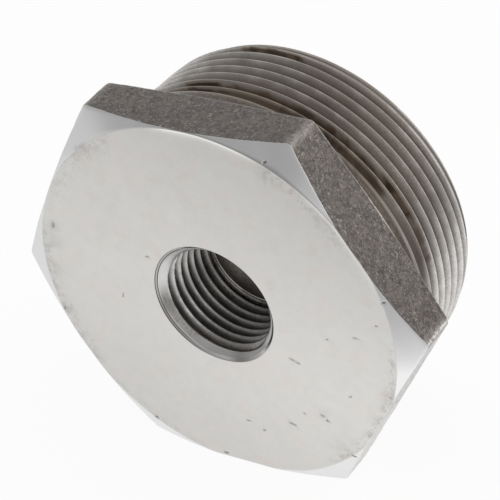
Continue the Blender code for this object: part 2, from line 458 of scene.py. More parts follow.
def male_grime_and_shade(y, angles):
    """How dirty the land and the male thread are, with shade painted in: up to a half is tarnish, partly
    shade over the top and near the head, and above that is oil, partly shadow next to the shoulder.
    """
    degrees = np.degrees(angles)
    behind = y - SHOULDER_Y
    patches = round_speckle(MALE_PITCH_DIAMETER / 2, y, angles, PATCH_SIZE)
    flecks = round_speckle(MALE_PITCH_DIAMETER / 2, y, angles, FLECK_SIZE)
    near = windows(degrees, NEAR_TARNISH_AND_SHADE) * (1.0 - smooth_step(behind, *NEAR_FADE))
    tarnish = np.minimum(TARNISH_LEAST + windows(degrees, TARNISH_AND_SHADE) + near, TARNISH_MOST)
    tarnish = tarnish + TARNISH_PATCHES * patches
    oil = (OIL_LEAST + windows(degrees, OIL_THICK) + OIL_FLECKS * flecks) * window(degrees, OIL_WINDOW)
    ragged_end = behind + END_RAGGED[0] * patches + END_RAGGED[1] * flecks
    oil = np.minimum(oil, OIL_MOST) * (1.0 - smooth_step(ragged_end, *OIL_END))
    for middle, along, half_turn, half_length, strength, ragged in OIL_SPOTS:
        turn = (degrees - middle + 180.0) % 360.0 - 180.0
        gap = (turn / half_turn) ** 2 + ((behind - along) / half_length) ** 2
        gap = gap + ragged * (SPOT_RAGGED[0] * patches + SPOT_RAGGED[1] * flecks)
        oil = np.maximum(oil, strength * (1.0 - smooth_step(gap, *SPOT_EDGE)))
    cut = smooth_step(behind, LAND_SKIN - SKIN_EDGE, LAND_SKIN + SKIN_EDGE)
    return LAND_DULL + (np.clip(np.maximum(tarnish, oil), 0.0, 1.0) - LAND_DULL) * cut


def land_highlight(y, angles):
    """A highlight painted pale on the forged skin: a thin line along the end of the land, the same at all
    angles.
    """
    return LAND_HIGHLIGHT * bell(y - SHOULDER_Y - LAND_SKIN, LAND_LINE)


def male_slot(y):
    """Material on the outside: the land keeps the skin of the forging."""
    return FORGED if y < SHOULDER_Y + LAND_SKIN else THREAD


def female_place(y, angles):
    """Place on the tapped bore's helix, in pitches counted from a root."""
    return y / FEMALE_PITCH - helix_turns(FEMALE_START_DEG, angles)


def female_radius(y, place):
    """Radius of the tapped bore, and how deep in a groove each point lies, from 0 to 1."""
    depth = y - FACE_Y
    minor = (FEMALE_PITCH_DIAMETER - FEMALE_HEIGHT) / 2 - depth * TAPER
    full = smooth_step(depth, *FEMALE_RUN_IN) * (1.0 - smooth_step(depth, *FEMALE_RUN_OUT))
    groove = ridge(place) * full
    countersink = MOUTH_RADIUS - depth
    cut = minor + FEMALE_HEIGHT * groove
    radius = smooth_max(countersink, cut, COUNTERSINK_ROUNDING)
    return radius, groove * smooth_step(cut - countersink, *GROOVE_START)


def countersink_share(y):
    """1 on the countersink and 0 behind it."""
    return 1.0 - smooth_step(y - FACE_Y, *COUNTERSINK_END)


def bore_darkening(y, angles):
    """How dark the bore is painted: shade painted deeper in, and darker low down on the countersink and the
    thread.
    """
    degrees = np.degrees(angles)
    cone = countersink_share(y)
    darker = cone * windows(degrees, DARK_CONE) + (1.0 - cone) * windows(degrees, DARK_THREAD)
    dim = (1.0 - windows(degrees, LIT_THREAD)) * smooth_step(y - FACE_Y, *DIM_DEPTHS)
    return np.maximum(dim, darker)


def bore_highlight(y, angles):
    """Painted highlights in the bore: the countersink high on its left and on its right, and the first
    crests.
    """
    degrees = np.degrees(angles)
    cone = countersink_share(y)
    crest = 1.0 - smooth_step(ridge(female_place(y, angles)), *CREST_FLANK)
    grain = round_speckle(FEMALE_PITCH_DIAMETER / 2, y, angles, CREST_GRAIN)
    crest = crest * broken(grain, *CREST_BREAKS) * (1.0 - smooth_step(y - FACE_Y, *CREST_FADE))
    return cone * windows(degrees, HIGHLIGHT_CONE) + (1.0 - cone) * crest * windows(degrees, BRIGHT_CRESTS)


def bore_slot(y):
    """Material in the bore, the same at all depths."""
    return BORE


def flat_rust(degrees, y):
    """Rust on the wrench flats, from 0 to 1, at angles around the axis and heights along it."""
    rust = np.zeros(len(degrees))
    for middle, depth, radius, strength in FLAT_SPOTS:
        across = np.radians(degrees - middle) * ACROSS_FLATS / 2
        rust = np.maximum(rust, strength * bell(np.hypot(across, y - FACE_Y - depth), radius))
    return rust


class Skin:
    """Points, faces and painted values of a mesh under construction, in millimetres."""

    def __init__(self):
        self.points = []
        self.groove = []
        self.grime = []
        self.wear = []
        self.faces = []
        self.slots = []

    def add(self, radius, y, angles, groove=0.0, grime=0.0, wear=0.0):
        """Adds points given by arrays of radius, height on the axis and angle, and returns their indices."""
        given = (radius, y, angles, groove, grime, wear)
        radius, y, angles, groove, grime, wear = np.broadcast_arrays(*given)
        first = len(self.points)
        points = np.stack([radius * np.cos(angles), y, radius * np.sin(angles)], axis=-1)
        self.points.extend(points.reshape(-1, 3).tolist())
        self.groove.extend(groove.reshape(-1).tolist())
        self.grime.extend(grime.reshape(-1).tolist())
        self.wear.extend(wear.reshape(-1).tolist())
        return np.arange(first, len(self.points)).reshape(radius.shape)

    def face(self, corners, slot):
        distinct = list(dict.fromkeys(int(corner) for corner in corners))
        if len(distinct) > 2:
            self.faces.append(distinct)
            self.slots.append(slot)

    def bridge(self, near, far, slot):
        """Joins two closed rings of points, of which one may have a whole number of times as many."""
        fine, coarse = (near, far) if len(near) >= len(far) else (far, near)
        step = len(fine) // len(coarse)
        for index in range(len(coarse)):
            run = [fine[(index * step + offset) % len(fine)] for offset in range(step + 1)]
            self.face(run + [coarse[(index + 1) % len(coarse)], coarse[index]], slot)

    def stack(self, rings, slot):
        """Joins each ring to the next one."""
        for near, far in zip(rings, rings[1:]):
            self.bridge(near, far, slot)

    def thread(self, angles, start_deg, pitch, rings, radius_at, grime_and_shade_at, highlight_at, slot_at):
        """Fills the space between two rings with rows of points that follow a right-hand helix."""
        front_ring, back_ring = rings
        front_y = self.points[front_ring[0]][1]
        back_y = self.points[back_ring[0]][1]
        first = math.floor(front_y / pitch) - 2
        last = math.ceil(back_y / pitch) + 3
        places = np.array([turn + share for turn in range(first, last) for share in PITCH_ROWS])
        y = (places[None, :] + helix_turns(start_deg, angles)[:, None]) * pitch
        snap = ROW_SNAP * pitch
        middle = (front_y + back_y) / 2
        index = np.where(y < middle, front_ring[:, None], back_ring[:, None])
        inside = (y > front_y + snap) & (y < back_y - snap)
        radius, groove = radius_at(y, np.broadcast_to(places, y.shape))
        around = np.broadcast_to(angles[:, None], y.shape)
        dirt = grime_and_shade_at(y[inside], around[inside])
        highlight = highlight_at(y[inside], around[inside])
        index[inside] = self.add(radius[inside], y[inside], around[inside], groove[inside], dirt, highlight)
        per_turn = len(PITCH_ROWS)
        seam = np.concatenate([np.full(per_turn, front_ring[0]), index[0, :-per_turn]])
        after = np.vstack([index[1:], seam])
        for column in range(len(angles)):
            for row in range(len(places) - 1):
                near = (index[column, row], index[column, row + 1])
                far = (after[column, row + 1], after[column, row])
                self.face(near + far, slot_at(y[column, row]))


def rounded_rows(corners, reaches):
    """Rows of (radius, y) arrays along a profile whose inner corners are rounded by short curves."""
    rows = []
    start = corners[0]
    for index, reach in enumerate(reaches):
        before, corner, after = corners[index : index + 3]
        to_before = before - corner
        to_after = after - corner
        length_before = np.linalg.norm(to_before, axis=1, keepdims=True)
        length_after = np.linalg.norm(to_after, axis=1, keepdims=True)
        entry = corner + to_before / length_before * np.minimum(reach, ROUNDING_SHARE * length_before)
        leave = corner + to_after / length_after * np.minimum(reach, ROUNDING_SHARE * length_after)
        count = STRAIGHT_ROWS[index]
        rows.append([start + (entry - start) * step / count for step in range(count)])
        curve = []
        for step in range(ROUND_ROWS[index]):
            share = step / ROUND_ROWS[index]
            curve.append(entry * (1 - share) ** 2 + 2 * corner * share * (1 - share) + leave * share**2)
        rows.append(curve)
        start = leave
    count = STRAIGHT_ROWS[-1]
    rows.append([start + (corners[-1] - start) * step / count for step in range(count + 1)])
    return rows


class Head:
    """Outline of the hexagon head at each angle, from the rim of its face to the land behind it."""

    def __init__(self, angles):
        self.angles = angles
        self.degrees = np.degrees(angles)
        self.wall = hexagon_radius(angles)
        self.back_y = SHOULDER_Y - np.maximum(self.wall - FACE_RADIUS, 0.0) * BACK_SLOPE
        self.land, _ = male_radius(SHOULDER_Y, 0.5)
        self.burr = BURR_HEIGHT * window(self.degrees, BURR_WINDOW)
        self.roll = ROLL_HEIGHT * window(self.degrees, ROLL_WINDOW)
        rim = FACE_RADIUS - RIM_UNDERSIZE + RIM_SHIFT[0] * np.cos(angles) + RIM_SHIFT[1] * np.sin(angles)
        slope = np.tan(np.radians(face_cone_deg(angles)))
        smooth_y = FACE_Y + np.maximum(self.wall - rim, LEAST_CHAMFER) * slope
        self.edge = self.wall + forged(self.wall, smooth_y, angles)
        self.edge_y = FACE_Y + np.maximum(self.edge - rim, LEAST_CHAMFER) * slope
        self.rim = np.minimum(rim, self.edge - LEAST_CHAMFER)

    def rows(self):
        """Rows of (radius, y) arrays along the profile, one list for each straight or round stretch."""
        back = self.wall + forged(self.wall, self.back_y, self.angles)
        profile = (
            (RIM_START, FACE_Y),
            (self.rim, FACE_Y),
            (self.edge, self.edge_y),
            (back, self.back_y),
            (self.land, SHOULDER_Y),
            (self.land, SHOULDER_Y + LAND_START),
        )
        corners = [np.stack(np.broadcast_arrays(*spot, self.angles)[:2], axis=1) for spot in profile]
        rim_rounding = RIM_ROUNDING + SOFT_RIM * window(self.degrees, SOFT_WINDOW)[:, None]
        return rounded_rows(corners, (rim_rounding, EDGE_ROUNDING, BACK_ROUNDING, SHOULDER_ROUNDING))

    def forged_wear(self, y):
        """How worn the forging is at the heights of a row, with a highlight painted along part of the back
        edge and a reflection painted on the lower right flat.
        """
        along = np.abs(self.degrees % FLAT_DEG - FLAT_DEG / 2)
        to_corner = ACROSS_FLATS / 2 * (math.tan(HALF_FLAT) - np.tan(np.radians(along)))
        bright = windows(self.degrees, BRIGHT_CORNER) * bell(to_corner, BRIGHT_CORNER_WIDTH)
        corner = bell(to_corner, CORNER_WEAR_WIDTH) + bright
        back = (1.0 - window(self.degrees, PLAIN_BACK)) * bell(self.back_y - y, BACK_WEAR_WIDTH)
        worn = np.maximum(np.maximum(corner, back), windows(self.degrees, FLAT_REFLECTION))
        return worn + windows(self.degrees, BACK_SHINE) * bell(self.back_y - y - SHINE_INSET, SHINE_WIDTH)

    def finished(self, radius, y, stretch, slot):
        """A row's radius and height with its burr or roughness, its dirt and painted shade, and how worn it
        is with its painted highlights.
        """
        dirt = LAND_DULL if stretch >= LAND_STRETCH else 0.0
        if slot == FACED:
            inward = np.maximum(self.rim - radius, 0.0)
            y = y - self.burr * np.exp(-inward / BURR_WIDTH) - self.roll * np.exp(-inward / ROLL_WIDTH)
            wear = windows(self.degrees, RIM_HIGHLIGHT) * bell(inward, RIM_HIGHLIGHT_WIDTH)
        elif slot == TURNED:
            outward = np.maximum(radius - self.rim, 0.0)
            y = y - (self.burr + self.roll) * np.exp(-outward / LIP_FALL)
            # Shade painted dark under the lip of the burr
            dirt = LIP_SHADE * window(self.degrees, BURR_WINDOW) * bell(outward, LIP_FALL)
            wear = window(self.degrees, PALER_CHAMFER)
        else:
            wear = self.forged_wear(y)
        if stretch == FLAT_STRETCH:
            radius = self.wall + forged(self.wall, y, self.angles)
            dirt = flat_rust(self.degrees, y)
        return radius, y, dirt, wear


def add_mouth(skin, angles):
    """Mouth of the bore: a fine step, a narrow ledge and the start of the countersink."""
    degrees = np.degrees(angles)
    ledge = window(degrees, LEDGE_WINDOW)
    darker = windows(degrees, DARK_MOUTH)
    rings = []
    for radius, depth, dirt in MOUTH:
        cone = max(MOUTH_RADIUS - radius, 0.0)
        y = FACE_Y + cone + (depth - cone) * ledge
        share = ledge if radius < STEP_RADIUS else STEP_DARK + (1.0 - STEP_DARK) * ledge
        rings.append(skin.add(radius, y, angles, grime=np.maximum(dirt * share, darker)))
    skin.stack(rings, TURNED)
    return rings


def add_head(skin, head, mouth_ring, middle, coarse):
    """Face, with fewer columns towards the bore, and the head behind it as far as the land."""
    rings = [mouth_ring]
    rings += [skin.add(radius, FACE_Y, coarse) for radius in COARSE_FACE_RINGS]
    rings += [skin.add(radius, FACE_Y, middle) for radius in MIDDLE_FACE_RINGS]
    rings += [skin.add(FINE_FACE_RING, FACE_Y, head.angles)]
    skin.stack(rings, FACED)
    last = rings[-1]
    for stretch, (rows, slot) in enumerate(zip(head.rows(), HEAD_SLOTS)):
        for row in rows:
            radius, y, dirt, wear = head.finished(row[:, 0], row[:, 1], stretch, slot)
            ring = skin.add(radius, y, head.angles, grime=dirt, wear=wear)
            skin.bridge(last, ring, slot)
            last = ring
    return last


def add_male_thread(skin, head, head_ring, angles):
    """Land, male thread and the end face around the recess. Returns the inner edge of that face."""
    land_ring = skin.add(head.land, SHOULDER_Y + LAND_RING, angles, grime=LAND_DULL)
    skin.bridge(head_ring, land_ring, FORGED)
    end_radius, _ = male_radius(END_Y, 0.0)
    end_ring = skin.add(end_radius, END_Y, angles)
    rings = (land_ring, end_ring)
    rules = (male_radius, male_grime_and_shade, land_highlight, male_slot)
    skin.thread(angles, MALE_START_DEG, MALE_PITCH, rings, *rules)
    end_rings = [end_ring]
    for radius in np.linspace(end_radius - END_INSET, MIDDLE_END_RING, MIDDLE_END_COUNT):
        end_rings.append(skin.add(radius, END_Y, angles))
    for radius in (COARSE_END_RING, RECESS_RADIUS + RECESS_BREAK):
        end_rings.append(skin.add(radius, END_Y, angles[::2]))
    skin.stack(end_rings, END)
    return end_rings[-1]


def add_bore(skin, mouth_ring, end_ring, angles):
    """Tapped bore, cut off square where the recess begins, and the recess as far as the end face."""
    edge, groove = female_radius(RECESS_Y, female_place(RECESS_Y, angles))
    shine = windows(np.degrees(angles), BRIGHT_EDGE)
    edge_ring = skin.add(edge, RECESS_Y, angles, groove, wear=shine)
    rings = (mouth_ring, edge_ring)
    rules = (female_radius, bore_darkening, bore_highlight, bore_slot)
    skin.thread(angles, FEMALE_START_DEG, FEMALE_PITCH, rings, *rules)
    # Floor and wall of the recess painted dark as shade
    lip_ring = skin.add(edge + EDGE_LIP[0], RECESS_Y + EDGE_LIP[1], angles, 1.0, RECESS_FLOOR_SHADE)
    recess_rings = [edge_ring, lip_ring]
    for radius in RECESS_FLOOR_RINGS:
        recess_rings.append(skin.add(radius, RECESS_Y, angles, 1.0, RECESS_FLOOR_SHADE))
    break_y = END_Y - RECESS_BREAK
    for y in np.linspace(RECESS_Y + RECESS_FILLET, break_y - BREAK_ROUNDING, RECESS_WALL_COUNT):
        shade = RECESS_SHADE - (RECESS_SHADE - 1.0) * smooth_step(y - RECESS_Y, *SHADE_FADE)
        recess_rings.append(skin.add(RECESS_RADIUS, y, angles, 1.0, shade))
    recess_rings.append(skin.add(RECESS_RADIUS + BREAK_ROUNDING, break_y + BREAK_ROUNDING, angles, 1.0, 1.0))
    skin.stack(recess_rings + [end_ring], BORE)


def build_skin():
    skin = Skin()
    fine = column_angles()
    middle = fine[::2]
    coarse = fine[::4]
    head = Head(fine)
    mouth_rings = add_mouth(skin, coarse)
    head_ring = add_head(skin, head, mouth_rings[-1], middle, coarse)
    end_ring = add_male_thread(skin, head, head_ring, middle)
    add_bore(skin, mouth_rings[0], end_ring, coarse)
    return skin


def shift_bore(points):
    """Moves the bore sideways as a whole, and the face around it less and less."""
    share = 1.0 - smooth_step(np.hypot(points[:, 0], points[:, 2]), *SHIFT_FADE)
    points[:, 0] += BORE_SHIFT[0] * share
    points[:, 2] += BORE_SHIFT[1] * share


def smudge(points):
    """Soft dirt on the face, from 0 to 1, at points in millimetres."""
    x, y, z = points.T
    dirt = np.zeros(len(points))
    for middle_x, middle_z, radius, strength in SMUDGES:
        dirt = np.maximum(dirt, strength * bell(np.hypot(x - middle_x, z - middle_z), radius))
    dirt = dirt * broken(speckle(x, y, z, SMUDGE_GRAIN), *SMUDGE_BREAKS)
    return np.where(y < FACE_Y + SMUDGE_DEPTH, dirt, 0.0)


def rim_stain(points):
    """How stained the rim of the face is, from 0 to 1, at points in millimetres."""
    degrees = np.degrees(np.arctan2(points[:, 2], points[:, 0]))
    radius = np.hypot(points[:, 0], points[:, 2])
    stain = np.zeros(len(points))
    for span, middle, half_width, strength in RIM_STAINS:
        stain = np.maximum(stain, strength * window(degrees, span) * bell(radius - middle, half_width))
    return stain


def mark_shape(x, z, mark):
    """How deep a mark is at a place on the face, as a share of its full depth."""
    middle_x, middle_z, length, width, turn_deg, _ = mark
    turn = math.radians(turn_deg)
    along = (x - middle_x) * math.cos(turn) + (z - middle_z) * math.sin(turn)
    across = (z - middle_z) * math.cos(turn) - (x - middle_x) * math.sin(turn)
    past = max(0.0, abs(along) - (length - width) / 2)
    return math.exp(-((2 * past / width) ** 2) - (2 * across / width) ** 2)


def near_mark(spot, mark):
    """Whether a place in millimetres is on the face or its chamfers and close to a mark."""
    x, z, length = mark[:3]
    on_front = spot.y < FACE_Y + MARK_ZONE
    return on_front and math.hypot(spot.x - x, spot.z - z) < length / 2 + MARK_REACH


def cut_marks(shape):
    """Refines the face around each mark, sinks the mark and paints it as grime."""
    grime = shape.verts.layers.float["grime"]
    for mark in MARKS:
        depth = mark[-1]
        near = [face for face in shape.faces if near_mark(face.calc_center_median() / MM, mark)]
        edges = list({edge for face in near for edge in face.edges})
        bmesh.ops.subdivide_edges(shape, edges=edges, cuts=MARK_CUTS, use_grid_fill=True)
        for vert in shape.verts:
            spot = vert.co / MM
            if near_mark(spot, mark):
                share = mark_shape(spot.x, spot.z, mark)
                vert.co.y += share * depth * MM
                vert[grime] = max(vert[grime], MARK_DIRT * share)


def add_object(name, data):
    obj = bpy.data.objects.new(name, data)
    bpy.context.scene.collection.objects.link(obj)
    return obj


def mesh_from(skin, name):
    points = np.array(skin.points)
    shift_bore(points)
    grime = np.maximum(skin.grime, smudge(points))
    mesh = bpy.data.meshes.new(name)
    mesh.from_pydata(points * MM, [], skin.faces)
    mesh.polygons.foreach_set("material_index", skin.slots)
    # Painted values: grime with painted shade, wear with painted highlights, and rim stains
    paint = {"groove": skin.groove, "grime": grime, "wear": skin.wear, "stain": rim_stain(points)}
    for label, values in paint.items():
        layer = mesh.attributes.new(label, "FLOAT", "POINT")
        layer.data.foreach_set("value", values)
    shape = bmesh.new()
    shape.from_mesh(mesh)
    bmesh.ops.recalc_face_normals(shape, faces=shape.faces)
    cut_marks(shape)
    shape.to_mesh(mesh)
    shape.free()
    mesh.shade_smooth()
    return mesh


def feed(tree, socket, value):
    """Links another socket to this one, or sets this one to a plain value."""
    if isinstance(value, bpy.types.NodeSocket):
        tree.links.new(value, socket)
    else:
        socket.default_value = value


def add_node(tree, kind, inputs=None, **settings):
    node = tree.nodes.new(kind)
    for name, value in settings.items():
        setattr(node, name, value)
    for socket, value in (inputs or {}).items():
        feed(tree, node.inputs[socket], value)
    return node


def add_math(tree, operation, first, second):
    return add_node(tree, "ShaderNodeMath", {0: first, 1: second}, operation=operation).outputs[0]


class Shader:
    """A Principled material and short ways to add nodes to it, with patterns sized in millimetres."""

    def __init__(self, name):
        self.material = bpy.data.materials.new(name)
        self.material.use_nodes = True
        self.tree = self.material.node_tree
        self.surface = self.tree.nodes["Principled BSDF"]
        place = self.add("ShaderNodeTexCoord").outputs["Object"]
        in_mm = {0: place, 1: (1 / MM, 1 / MM, 1 / MM)}
        self.place = self.add("ShaderNodeVectorMath", in_mm, operation="MULTIPLY").outputs[0]

    def add(self, kind, inputs=None, **settings):
        return add_node(self.tree, kind, inputs, **settings)

    def set(self, **inputs):
        for name, value in inputs.items():
            feed(self.tree, self.surface.inputs[name.replace("_", " ")], value)

    def noise(self, size, detail=3.0, roughness=0.55, twist=0.0):
        inputs = {"Vector": self.place, "Scale": 1 / size, "Detail": detail, "Roughness": roughness}
        inputs["Distortion"] = twist
        return self.add("ShaderNodeTexNoise", inputs).outputs[0]

    def spread(self, value, low, high, to_low=0.0, to_high=1.0):
        inputs = {"Value": value, "From Min": low, "From Max": high, "To Min": to_low, "To Max": to_high}
        return self.add("ShaderNodeMapRange", inputs).outputs[0]

    def math(self, operation, first, second=0.0):
        return add_math(self.tree, operation, first, second)

    def mix(self, share, first, second):
        """Mix of two colours, by the Mix node's sockets for colour."""
        return self.add("ShaderNodeMix", {0: share, 6: first, 7: second}, data_type="RGBA").outputs[2]

    def painted(self, name):
        return self.add("ShaderNodeAttribute", attribute_name=name).outputs["Fac"]

    def bump(self, height, strength, distance):
        inputs = {"Height": height, "Strength": strength, "Distance": distance * MM}
        return self.add("ShaderNodeBump", inputs).outputs[0]


def grey(value, warm=0.0):
    return (value * (1 + warm), value, value * (1 - warm), 1.0)


def faced_steel():
    """Machined face: pale and satin, with faint stains, a dirty rim and dirt in its marks."""
    s = Shader("faced_steel")
    clouds = s.noise(11.0, 4.0)
    tone = s.mix(s.spread(clouds, 0.35, 0.7), (0.757, 0.743, 0.713, 1.0), (0.808, 0.793, 0.761, 1.0))
    stains = s.noise(7.0, 3.0)
    cool = s.mix(s.spread(stains, 0.42, 0.25), tone, (0.778, 0.785, 0.772, 1.0))
    rosy = s.mix(s.spread(stains, 0.56, 0.74), cool, (0.785, 0.742, 0.718, 1.0))
    rosy = s.mix(s.spread(s.noise(2.8, 2.0), 0.56, 0.70, 0.0, 0.7), rosy, (0.80, 0.732, 0.708, 1.0))
    film = s.mix(s.spread(s.noise(2.2, 4.0, 0.6), 0.45, 0.75, 0.0, 0.35), rosy, (0.68, 0.668, 0.625, 1.0))
    grain = s.noise(0.5, 2.0)
    flecked = s.mix(s.spread(grain, 0.3, 0.75, 0.0, 0.18), film, grey(0.66))
    stain = s.painted("stain")
    patches = s.math("MULTIPLY", stain, s.spread(s.noise(1.5, 4.0, 0.65), 0.46, 0.62))
    stained = s.mix(patches, flecked, (0.47, 0.45, 0.42, 1.0))
    specks = s.math("MULTIPLY", stain, s.spread(s.noise(0.42, 3.0, 0.6), 0.60, 0.68))
    stained = s.mix(specks, stained, (0.20, 0.18, 0.16, 1.0))
    dirt = s.math("MULTIPLY", s.painted("grime"), s.spread(grain, 0.25, 0.6, 0.5, 1.0))
    colour = s.mix(dirt, stained, (0.20, 0.17, 0.15, 1.0))
    # Pale and smoother where a highlight is painted along part of the rim
    wear = s.painted("wear")
    colour = s.mix(wear, colour, grey(0.93, 0.01))
    satin = s.spread(clouds, 0.3, 0.7, 0.32, 0.42)
    smooth = s.math("SUBTRACT", satin, s.math("MULTIPLY", wear, 0.16))
    s.set(Base_Color=colour, Metallic=1.0, Roughness=smooth)
    s.set(Normal=s.bump(grain, 0.25, 0.02))
    return s.material


def turned_steel():
    """Turned chamfers and the mouth of the bore: cleaner and smoother than the face."""
    s = Shader("turned_steel")
    clouds = s.noise(6.0, 3.0)
    clean = s.mix(s.spread(clouds, 0.35, 0.7), (0.81, 0.81, 0.812, 1.0), (0.86, 0.86, 0.862, 1.0))
    # Paler on the lower chamfers
    clean = s.mix(s.painted("wear"), clean, grey(0.90))
    # Painted dark along the mouth's step and ledge, and as shade under the burr's lip
    colour = s.mix(s.painted("grime"), clean, (0.10, 0.08, 0.06, 1.0))
    s.set(Base_Color=colour, Metallic=1.0, Roughness=s.spread(clouds, 0.3, 0.7, 0.16, 0.23))
    s.set(Normal=s.bump(s.noise(0.4, 2.0), 0.12, 0.01))
    return s.material


def forged_steel():
    """Forged wrench flats and land: dark, rough, wrinkled and mottled, rubbed paler along the edges, with
    painted highlights and a painted reflection near white.
    """
    s = Shader("forged_steel")
    clouds = s.noise(3.0, 4.0)
    grain = s.noise(0.52, 3.0, 0.65, 1.2)
    pits = s.noise(0.8, 3.0, 0.65)
    mottle = s.math("ADD", s.math("MULTIPLY", grain, 0.65), s.math("MULTIPLY", pits, 0.35))
    dark = s.mix(s.spread(clouds, 0.35, 0.7), (0.022, 0.012, 0.007, 1.0), (0.046, 0.030, 0.021, 1.0))
    blotches = s.spread(s.noise(1.6, 3.0, 0.6, 0.8), 0.35, 0.65, -0.045, 0.045)
    mottled = s.spread(s.math("ADD", mottle, blotches), 0.44, 0.56)
    plain = s.mix(mottled, dark, (0.106, 0.083, 0.068, 1.0))
    wrinkles = s.math("ABSOLUTE", s.math("SUBTRACT", s.noise(0.85, 2.0, 0.6, 1.0), 0.5))
    plain = s.mix(s.spread(wrinkles, 0.008, 0.03, 0.7, 0.0), plain, (0.012, 0.010, 0.008, 1.0))
    flecks = s.spread(s.noise(0.55, 2.0, 0.65, 1.5), 0.58, 0.66, 0.0, 0.66)
    tone = s.mix(flecks, plain, (0.33, 0.288, 0.25, 1.0))
    wear = s.painted("wear")
    rubbed = s.math("MULTIPLY", wear, s.spread(mottle, 0.35, 0.6, 0.2, 0.8))
    pale = s.mix(rubbed, tone, (0.36, 0.33, 0.298, 1.0))
    # Near white on the brightest corner wear, and where the highlight on the back edge and the reflection on
    # the lower right flat are painted
    scuff_and_glare = s.math("MULTIPLY", wear, s.spread(mottle, 0.42, 0.58, 0.45, 1.0))
    pale = s.mix(s.spread(scuff_and_glare, 1.0, 2.0), pale, (0.76, 0.74, 0.72, 1.0))
    grime = s.painted("grime")
    oily = s.mix(s.spread(grime, 0.5, 0.8, 0.0, 0.92), pale, (0.11, 0.084, 0.06, 1.0))
    colour = s.mix(s.spread(grime, 0.88, 0.98), oily, (0.02, 0.016, 0.013, 1.0))
    clean = s.spread(grime, 0.4, 0.8, 1.0, 0.0)
    sheen = s.math("MULTIPLY", clean, s.spread(wrinkles, 0.008, 0.035, 0.5, 1.0))
    s.set(Base_Color=colour, Metallic=1.0, Roughness=0.5, Coat_Weight=sheen, Coat_Roughness=0.18)
    s.set(Normal=s.bump(mottle, 0.9, 0.2))
    return s.material


def thread_steel():
    """Cut male thread: crests painted pale as a highlight, duller flanks, roots painted dark as shade,
    tarnished and oily where dirt and shade are painted.
    """
    s = Shader("thread_steel")
    groove = s.painted("groove")
    grime = s.painted("grime")
    grain = s.noise(0.35, 3.0, 0.6)
    # Crests painted pale as a highlight and roots painted dark as shade, by how deep in a groove each point
    # lies
    flank = s.mix(s.spread(groove, 0.03, 0.18), grey(0.95, 0.02), grey(0.82, 0.03))
    clean = s.mix(s.spread(groove, 0.16, 0.64), flank, grey(0.17, 0.07))
    dull_flank = s.mix(s.spread(groove, 0.05, 0.25), (0.34, 0.31, 0.285, 1.0), (0.315, 0.28, 0.252, 1.0))
    darker = s.mix(s.spread(groove, 0.5, 1.0), dull_flank, (0.18, 0.156, 0.137, 1.0))
    tarnished = s.mix(s.spread(grime, 0.08, 0.46), clean, darker)
    oil = s.mix(s.spread(groove, 0.04, 0.3), (0.30, 0.255, 0.21, 1.0), (0.17, 0.132, 0.10, 1.0))
    oily = s.mix(s.spread(grime, 0.5, 0.8), tarnished, oil)
    # Near black where the oil is thickest, partly painting shadow next to the shoulder
    black = s.mix(s.spread(grime, 0.86, 0.98), oily, (0.022, 0.018, 0.016, 1.0))
    colour = s.mix(s.spread(grain, 0.35, 0.75, 0.0, 0.26), black, (0.10, 0.088, 0.078, 1.0))
    s.set(Base_Color=colour, Metallic=1.0, Roughness=s.spread(grain, 0.3, 0.7, 0.34, 0.5))
    s.set(Normal=s.bump(grain, 0.3, 0.03))
    return s.material


def bore_steel():
    """Countersink, tapped bore and recess: highlights painted pale, shade painted dimmer in the roots and
    further in, and painted near black as shade in the recess.
    """
    s = Shader("bore_steel")
    groove = s.painted("groove")
    deep = s.painted("grime")
    # Roots painted darker than crests, as shade in the grooves
    clean = s.mix(s.spread(groove, 0.05, 0.7), grey(0.58, 0.025), grey(0.40, 0.06))
    dim = s.mix(s.spread(groove, 0.05, 0.7), grey(0.27, 0.05), grey(0.235, 0.07))
    # Dimmer where shade is painted deeper in, and darker low down on the countersink and the thread
    tone = s.mix(deep, clean, dim)
    # Near black in the recess, where shade is painted
    tone = s.mix(s.spread(deep, 1.0, 2.0), tone, (0.016, 0.013, 0.011, 1.0))
    grain = s.spread(s.noise(0.4, 3.0, 0.65), 0.5, 0.68, 0.0, 0.75)
    specks = s.math("MULTIPLY", s.spread(deep, 0.3, 1.0), grain)
    tone = s.mix(specks, tone, (0.012, 0.010, 0.008, 1.0))
    # Painted highlights, pale and nearly without metal so that they look bright
    highlight = s.painted("wear")
    tone = s.mix(highlight, tone, grey(0.88, 0.01))
    s.set(Base_Color=tone, Roughness=s.spread(s.noise(2.0), 0.3, 0.7, 0.28, 0.38))
    s.set(Metallic=s.spread(highlight, 0.0, HIGHLIGHT_MOST, 1.0, 0.04))
    s.set(Normal=s.bump(s.noise(0.3, 2.0), 0.2, 0.02))
    return s.material


